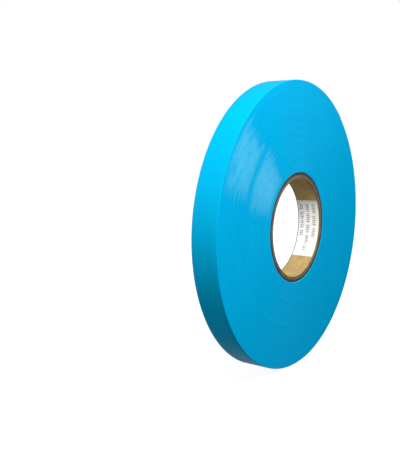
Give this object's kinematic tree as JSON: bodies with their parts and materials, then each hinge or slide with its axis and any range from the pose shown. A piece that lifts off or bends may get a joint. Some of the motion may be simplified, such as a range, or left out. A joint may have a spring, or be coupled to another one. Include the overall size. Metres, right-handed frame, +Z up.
{
  "type": "grip tape roll",
  "caption": "Roll of narrow smooth film tape wound on a spiral paperboard core, standing on its rim, with a tail that lifts and a closure tab that peels.",
  "frame": {"origin": "on the floor, below the middle of the roll standing on its rim", "axes": "+Y along the roll's axis from its front face to its back face, +Z up"},
  "size_m": [0.219, 0.0204, 0.2192],
  "materials": {
    "core_board": "raw kraft board",
    "label_paper": "matt white",
    "strip_adhesive": "tacky, translucent",
    "tape_film": "satin",
    "tab_paper": "buff crepe"
  },
  "bodies": {
    "roll": {"core_liner": "core_board", "core_body_ply_1": "core_board", "core_body_ply_2": "core_board", "core_body_ply_3": "core_board", "core_outer_ply": "core_board", "core_label": "label_paper", "start_strip": "strip_adhesive", "tape_pack": "tape_film"},
    "tail": {"tape_tail": "tape_film"},
    "tab": {"closure_tab": "tab_paper"}
  },
  "joints": [
    {"name": "tail_lift", "type": "hinge", "parent": "roll", "child": "tail", "pos_m": [0.02562, 0, 0.21622], "axis": [0, -1, 0], "range_deg": [0, 120]},
    {"name": "tab_peel", "type": "hinge", "parent": "tail", "child": "tab", "pos_m": [0.05781, 0, 0.20334], "axis": [0, -1, 0], "range_deg": [0, 120]}
  ]
}
